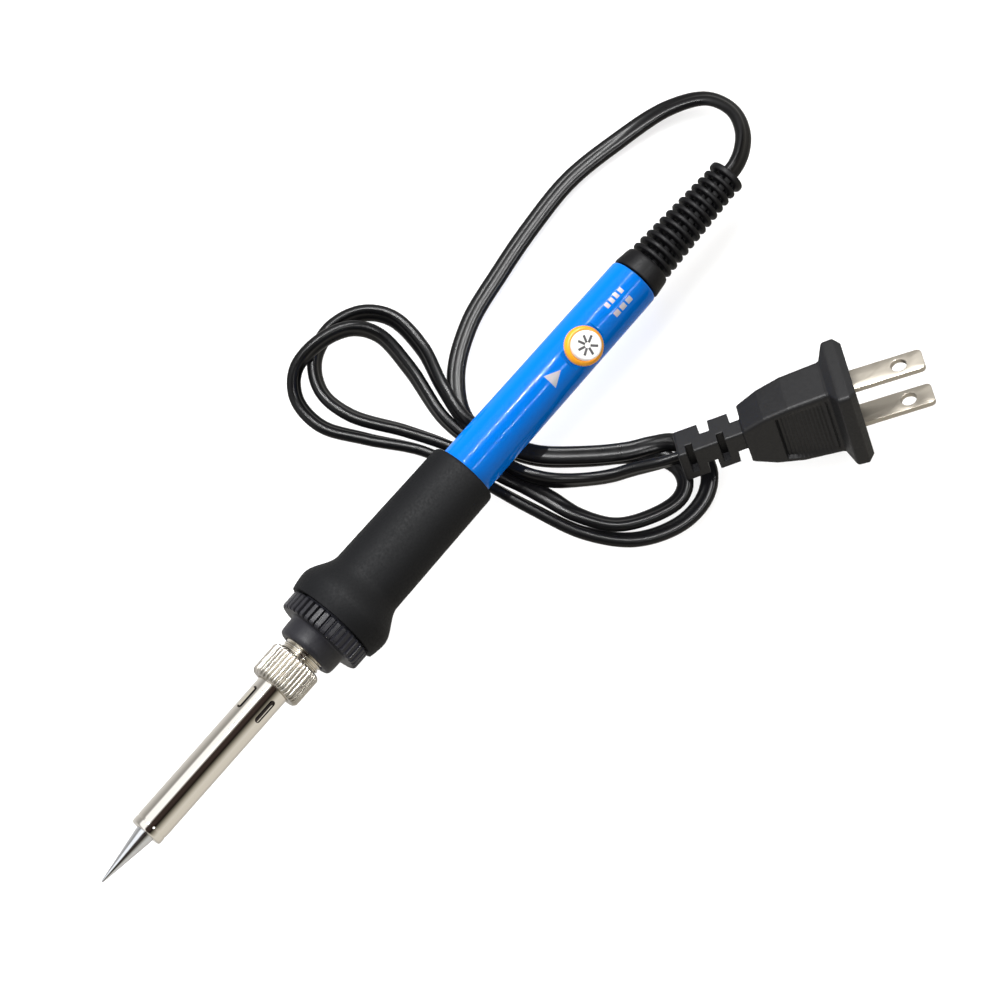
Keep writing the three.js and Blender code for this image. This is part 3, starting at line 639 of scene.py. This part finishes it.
def tick(turn, inner, outer, wide):
    """Points of one flat radial tick on the cap, as two rings of four corners, a little above its top."""
    along = np.array([inner, outer, outer, inner])
    side = np.array([-wide, -wide, wide, wide]) / 2
    across = np.outer(along, [cos(turn), sin(turn)]) + np.outer(side, [-sin(turn), cos(turn)])
    rings = []
    for height in (10.78, 10.83):
        spots = np.array(DIAL_AT[0]) + height * np.array(DIAL_UP)
        spots = spots + across[:, :1] * np.array(DIAL_AT[2]) + across[:, 1:] * np.array(DIAL_SIDE)
        rings.append(spots)
    return np.array(rings)


tick_ink = finish("tick_ink", colour(40, 36, 40), colour(50, 46, 50), 0.5, grain=2000, bump=0.05)
for number, turn in enumerate(np.radians([20, 65, 110, 160, 205, 255, 310])):
    mark = skin(f"dial_tick_{number + 1}", tick(turn, 0.7, 2.6, 0.62) * MM, ends="capped")
    mark.data.materials.append(tick_ink)
    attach(mark, "dial")

# ---- Cord guard -------------------------------------------------------------------------------
# One moulding in soft black PVC: a spigot in the shell, a tapered collar, and rings that four
# bars join, so that light shows through between the rings. The real guard bends; this one stays straight.
RING_FIRST = 199.6
RING_PITCH = 2.3
RING_COUNT = 13
RING_WIDE = 1.25
guard_vinyl = finish("guard_vinyl", colour(6, 6, 8), colour(10, 10, 13), 0.5, grain=1500, bump=0.05,
                     specular=0.16)
guard_shells = [turned("guard_collar", [
    (181, 2.8), (181, 5.1), (181.2, 5.3), (193.6, 5.3), (193.6, 6.2), (193.68, 6.4), (193.9, 6.52),
    (194.3, 6.55), (197.6, 6.12), (198.1, 6.02), (198.45, 5.85), (198.6, 5.55), (198.6, 2.8)], columns=96)]
for ring in range(RING_COUNT):
    x = RING_FIRST + ring * RING_PITCH
    last = ring == RING_COUNT - 1
    outer = 4.7 if last else 5.75 - 1.25 * ring / (RING_COUNT - 1)
    wide = RING_WIDE + (0.45 if last else 0)
    guard_shells.append(turned("guard_ring", rounded(
        [(x, 2.8), (x, outer), (x + wide, outer), (x + wide, 2.8)], [0.2, 0.62, 0.62, 0.2], 7), columns=72))

BAR_ANGLES = (24, 114, 204, 294)
BAR_HALF_ANGLE = 13
BAR_OUTER = 3.6
BAR_INNER = 2.85


def guard_bar(middle):
    """A bar of the guard: a sector of a sleeve between two radii and two angles, straight along the iron."""
    half = radians(BAR_HALF_ANGLE)
    turn = np.concatenate([np.linspace(-half, half, 9), np.linspace(half, -half, 9)]) + radians(middle)
    radius = np.concatenate([np.full(9, BAR_OUTER), np.full(9, BAR_INNER)])
    x = np.linspace(198.2, 227.8, 24)[:, None]
    y = np.broadcast_to(-radius * np.sin(turn), (24, 18))
    z = np.broadcast_to(AXIS_Z + radius * np.cos(turn), (24, 18))
    grid = np.stack([np.broadcast_to(TIP_X + x, y.shape), y, z], axis=-1)
    return skin("guard_bar", grid * MM, ends="capped")


guard_shells += [guard_bar(angle) for angle in BAR_ANGLES]


def joined(name, pieces):
    """One piece out of several that were made in place, keeping each one's closed skin."""
    work = bmesh.new()
    for piece in pieces:
        work.from_mesh(piece.data)
        bpy.data.objects.remove(piece)
    mesh = bpy.data.meshes.new(name)
    work.to_mesh(mesh)
    work.free()
    whole = bpy.data.objects.new(name, mesh)
    scene.collection.objects.link(whole)
    return whole


guard = joined("ribbed_guard", guard_shells)
guard.data.set_sharp_from_angle(angle=radians(40))
guard.data.materials.append(guard_vinyl)
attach(guard, "handle")
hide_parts("cord_guard")

# The cord's end inside the guard, leaning as it does where it comes out.
TAIL_FROM, TAIL_TO = 177.5, 229.6
TAIL_LEAN = 40
tail_route = np.array([(TIP_X + x, 0, AXIS_Z, TAIL_LEAN) for x in np.linspace(TAIL_FROM, TAIL_TO, 30)])
tail = cord_skin("inner_cord", tail_route)
tail.data.materials.append(cord_jacket)
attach(tail, "handle")
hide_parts("cord_tail")

# ---- Plug body --------------------------------------------------------------------------------
# Black PVC moulded round the blades and the cord: a square flange, a flattened body with sunk ribbed
# finger grips on both broad sides, and a strain relief with its corners notched in turn.
PLUG_STATIONS = [  # distance from the face, half width, half height, corner radius
    (-45.0, 3.7, 4.4, 0.4), (-44.75, 4.0, 4.7, 0.6), (-44.4, 4.1, 4.8, 0.6), (-28.6, 4.1, 4.8, 0.6),
    (-28.35, 4.6, 5.6, 0.8), (-27.9, 4.75, 6.0, 1.0), (-22.8, 5.3, 8.3, 1.0), (-16.5, 5.75, 9.8, 1.0),
    (-6.9, 5.9, 10.7, 1.0), (-6.3, 6.1, 10.85, 1.0), (-4.75, 9.75, 11.95, 1.0), (-4.4, 10.1, 12.2, 1.0),
    (-3.9, 10.2, 12.3, 1.0), (-1.75, 10.25, 12.4, 1.0), (-1.45, 10.1, 12.3, 1.0), (-0.1, 8.75, 11.7, 1.0),
    (0.0, 8.6, 11.55, 1.0)]
RELIEF_FRONT = -28.4
# Cuts across the relief's corners: distance, width, which corners, and how far out from the axis in width
# and in height the cut begins.
CORNER_CUTS = [(-41.9, 1.7, -1, 1.4, -2.5), (-37.45, 2.5, 1, 0.6, 0.6), (-34.0, 1.7, -1, 1.4, -2.5),
               (-29.7, 2.6, 1, 0.6, 0.6)]


def soft_step(value, low, high):
    """0 below low, 1 above high and a smooth rise between."""
    t = np.clip((value - low) / (high - low), 0, 1)
    return t * t * (3 - 2 * t)


def bar_mask(value, middle, wide, edge=0.22):
    """1 inside a band about middle and 0 outside, with soft edges."""
    return soft_step(wide / 2 - np.abs(value - middle), -edge / 2, edge / 2)


def rounded_rectangle(half_width, half_height, corner, flat=26, arc=8):
    """Points round a rectangle with rounded corners: each corner a quarter circle, each flat evenly cut.
    Sizes may be columns, one row of points for each of their rows. Gives two arrays, width and height."""
    turn = np.linspace(0, pi / 2, arc)
    widths, heights = [], []
    for k, (sy, sz) in enumerate([(1, 1), (-1, 1), (-1, -1), (1, -1)]):
        angle = turn + k * pi / 2
        widths.append(sy * (half_width - corner) + corner * np.cos(angle))
        heights.append(sz * (half_height - corner) + corner * np.sin(angle))
    y, z = [], []
    share = np.linspace(0, 1, flat + 2)[1:-1]
    for k in range(4):
        after = (k + 1) % 4
        y += [widths[k], widths[k][:, -1:] * (1 - share) + widths[after][:, :1] * share]
        z += [heights[k], heights[k][:, -1:] * (1 - share) + heights[after][:, :1] * share]
    return np.concatenate(y, axis=1), np.concatenate(z, axis=1)


def corner_cut(y, z, half_width, half_height, hand, from_y, from_z):
    """The outline with two opposite corners cut square: those where y and z agree in sign for hand 1, those
    where they differ for hand -1. Each point of the cut corner moves to the same share of the cut's sides."""
    for facing in (1, -1):
        across, up = y * facing * hand, z * facing
        inside = (across > from_y) & (up > from_z)
        on_side = across / half_width > up / half_height
        down = np.clip((up - from_z) / (half_height - from_z), 0, 1)
        back = np.clip((half_width - across) / (half_width - from_y), 0, 1)
        new_across = np.where(on_side, half_width - down * (half_width - from_y), from_y)
        new_up = np.where(on_side, from_z, from_z + back * (half_height - from_z))
        y = np.where(inside, new_across * facing * hand, y)
        z = np.where(inside, new_up * facing, z)
    return y, z


def plug_grid():
    """Rings of rounded rectangles along the plug, their sizes read off its stations. Cuts take corners off
    the relief in turn, the ribbed panels sink into the broad sides, and the relief droops."""
    table = np.array(PLUG_STATIONS)
    relief_xs, body_xs = np.linspace(-PLUG_LENGTH, -28, 190), np.linspace(-28, 0, 200)
    x = np.unique(np.concatenate([table[:, 0], relief_xs, body_xs]))[:, None]
    half_width, half_height, corner = (np.interp(x, table[:, 0], column) for column in table[:, 1:].T)
    y, z = rounded_rectangle(half_width, half_height, corner)
    broad = (np.abs(y) > 0.9 * half_width) * 1.0
    for middle, wide, hand, from_y, from_z in CORNER_CUTS:
        cut_y, cut_z = corner_cut(y, z, half_width, half_height, hand, from_y, from_z)
        share = bar_mask(x, middle, wide, 0.12) * (x < RELIEF_FRONT)
        y, z = y + (cut_y - y) * share, z + (cut_z - z) * share
    panel = bar_mask(x, -14.0, 12.2, 0.5) * bar_mask(z, 0, 1.56 * half_height, 0.6) * broad
    sink = np.interp(x, [-20, -8.0], [0.95, 0.25]) + 0.12 * np.cos(2 * pi * x / 0.95)
    frame_line = bar_mask(x, -7.35, 0.35, 0.2) * bar_mask(z, 0, 1.6 * half_height, 0.6) * broad
    y = y - np.sign(y) * (panel * sink + 0.3 * frame_line)
    bend = np.clip((RELIEF_FRONT - x) / (PLUG_LENGTH + RELIEF_FRONT), 0, 1) * RELIEF_DROOP
    return np.stack([np.broadcast_to(x, y.shape), y - bend, z - bend], axis=-1)


def in_plug(grid):
    """A grid of points in the plug's own millimetres, as metres in the frame."""
    place = np.array(PLUG_PLACE)
    return grid * MM @ place[:3, :3].T + place[:3, 3]


plug = skin("plug_moulding", in_plug(plug_grid()), ends="capped", sharp=40)
plug_vinyl = finish("plug_vinyl", colour(15, 15, 17), colour(20, 20, 22), 0.5, grain=1600, bump=0.08,
                    specular=0.28)
plug.data.materials.append(plug_vinyl)
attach(plug, "handle")
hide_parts("plug_body")

# ---- Plug blades ------------------------------------------------------------------------------
# Stamped brass strip, nickel plated and lightly brushed along its length, with rounded ends and a
# round hole. Both roots are moulded into the body.
BLADE_FRONT = 17.8
BLADE_ROOT = -9.0
BLADE_WIDE = 6.35
BLADE_THICK = 1.5
BLADE_PITCH = 12.7
BLADE_CORNER = 1.25
HOLE_X = 11.7
HOLE_R = 1.9


def blade_grid(height):
    """A flat strip with a hole as one closed ring of rows: rim, top, hole, underside and back to the rim.
    Each row follows the outline or the hole, and the rim and the hole's edge are eased by a small radius."""
    half = (BLADE_FRONT - BLADE_ROOT) / 2
    middle = (BLADE_FRONT + BLADE_ROOT) / 2
    ease, level = 0.2, BLADE_THICK / 2
    rows = []
    for inset, z in ((0, -level + ease), (0, level - ease), (0.06, level - 0.06), (ease, level)):
        x, y = rounded_rectangle(np.array([[half - inset]]), np.array([[BLADE_WIDE / 2 - inset]]),
                                 np.array([[BLADE_CORNER - inset]]), flat=20, arc=10)
        rows.append(np.stack([x[0] + middle, y[0], np.full(x.shape[1], z)], axis=-1))
    bearing = np.arctan2(rows[0][:, 1], rows[0][:, 0] - HOLE_X)
    for radius, z in ((HOLE_R + 0.12, level), (HOLE_R, level - 0.12)):
        rows.append(np.stack([HOLE_X + radius * np.cos(bearing), radius * np.sin(bearing),
                              np.full(len(bearing), z)], axis=-1))
    under = [row * np.array([1, 1, -1]) for row in rows[:0:-1]]
    return np.array(rows + under) + np.array([0, 0, height])


blade_plate = finish("blade_plate", colour(180, 174, 163), colour(164, 157, 146), 0.42, metal=1, grain=1100,
                     stretch=(0.25, 1, 1), bump=0.015, spread=0.05)
for name, side in (("upper", 1), ("lower", -1)):
    blade = skin(f"{name}_blade", in_plug(blade_grid(side * BLADE_PITCH / 2)), ends="joined", sharp=40)
    blade.data.materials.append(blade_plate)
    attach(blade, "handle")
    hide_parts(f"plug_blade_{name}")

# ---- Inner parts ------------------------------------------------------------------------------
# The heater, the circuit board and its parts keep the frame's shapes; each gets its own finish.
INNER = {
    # The heater is near black as painted shade for the inside of the tube's slots, which the shadowless side
    # lamp would otherwise light.
    "heating_element": ("element_painted_shade", (30, 27, 25), (40, 35, 32), 0.8, 0),
    "heater_holder": ("holder_ceramic", (238, 234, 224), (226, 220, 206), 0.65, 0),
    "heater_lead_left": ("lead_braid", (226, 216, 190), (204, 192, 160), 0.85, 0),
    "heater_lead_right": ("lead_braid", (226, 216, 190), (204, 192, 160), 0.85, 0),
    "potentiometer_shaft": ("shaft_steel", (190, 192, 196), (172, 174, 178), 0.3, 1),
    "potentiometer_body": ("pot_case", (52, 96, 138), (44, 84, 124), 0.45, 0),
    "control_board": ("board_laminate", (186, 140, 78), (166, 120, 62), 0.6, 0),
    "triac": ("triac_case", (32, 32, 34), (42, 42, 44), 0.5, 0),
    "film_capacitor": ("capacitor_dip", (168, 48, 32), (150, 38, 26), 0.3, 0),
    "fixed_resistor": ("resistor_tan", (202, 168, 122), (186, 150, 104), 0.45, 0),
    "trigger_diac": ("diac_blue", (44, 60, 104), (36, 50, 90), 0.35, 0),
    "suppressor_resistor": ("resistor_blue", (158, 182, 202), (140, 164, 186), 0.45, 0),
    "cord_tie": ("tie_nylon", (232, 230, 222), (220, 218, 208), 0.5, 0),
    "core_wire_left": ("core_black", (40, 40, 43), (50, 50, 53), 0.5, 0),
    "core_wire_right": ("core_brown", (106, 62, 34), (92, 52, 28), 0.5, 0),
}
for node, (name, base, second, rough, metal) in INNER.items():
    material = bpy.data.materials.get(name)
    if material is None:
        material = finish(name, colour(*base), colour(*second), rough, metal=metal, grain=1800, bump=0.1)
    inner_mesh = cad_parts[node].data
    inner_mesh.materials.clear()
    inner_mesh.materials.append(material)
